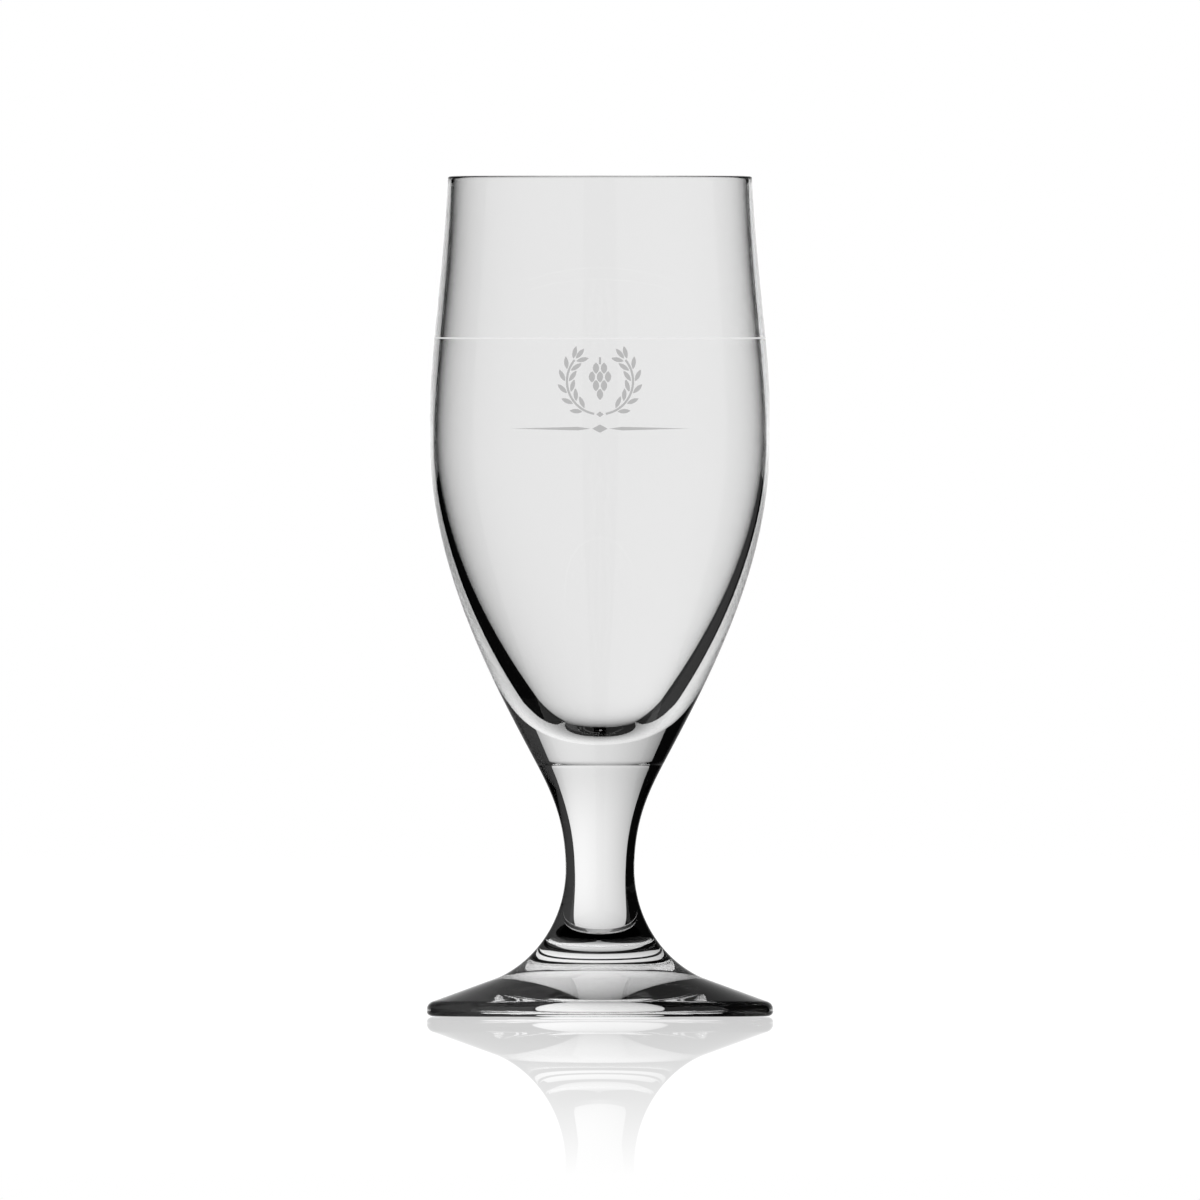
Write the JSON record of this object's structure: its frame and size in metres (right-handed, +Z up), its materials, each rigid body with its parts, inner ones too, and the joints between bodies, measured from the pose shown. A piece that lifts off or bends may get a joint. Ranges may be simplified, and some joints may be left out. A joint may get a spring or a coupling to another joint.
{
  "type": "stemmed pilsner glass",
  "caption": "Stemmed beer glass with a tall tulip bowl of thin clear glass, a solid waisted stem, a sloping round foot, a fill line and a barley and hop ornament in enamel.",
  "frame": {"origin": "middle of the ring that the foot stands on, at table level", "axes": "+Z up along the glass's axis of revolution, the printed front facing -Y"},
  "size_m": [0.0778, 0.0778, 0.188],
  "materials": {
    "bowl_glass": "clear, fire polished",
    "stem_glass": "clear, fire polished",
    "foot_glass": "clear, fire polished",
    "white_enamel": "fired enamel, satin",
    "grey_enamel": "fired enamel, satin"
  },
  "bodies": {
    "root": {"bowl": "bowl_glass", "stem": "stem_glass", "foot": "foot_glass", "fill_line": "white_enamel", "barley_wreath": "grey_enamel", "hop_cone": "grey_enamel", "ornament_rule": "grey_enamel"}
  },
  "joints": []
}
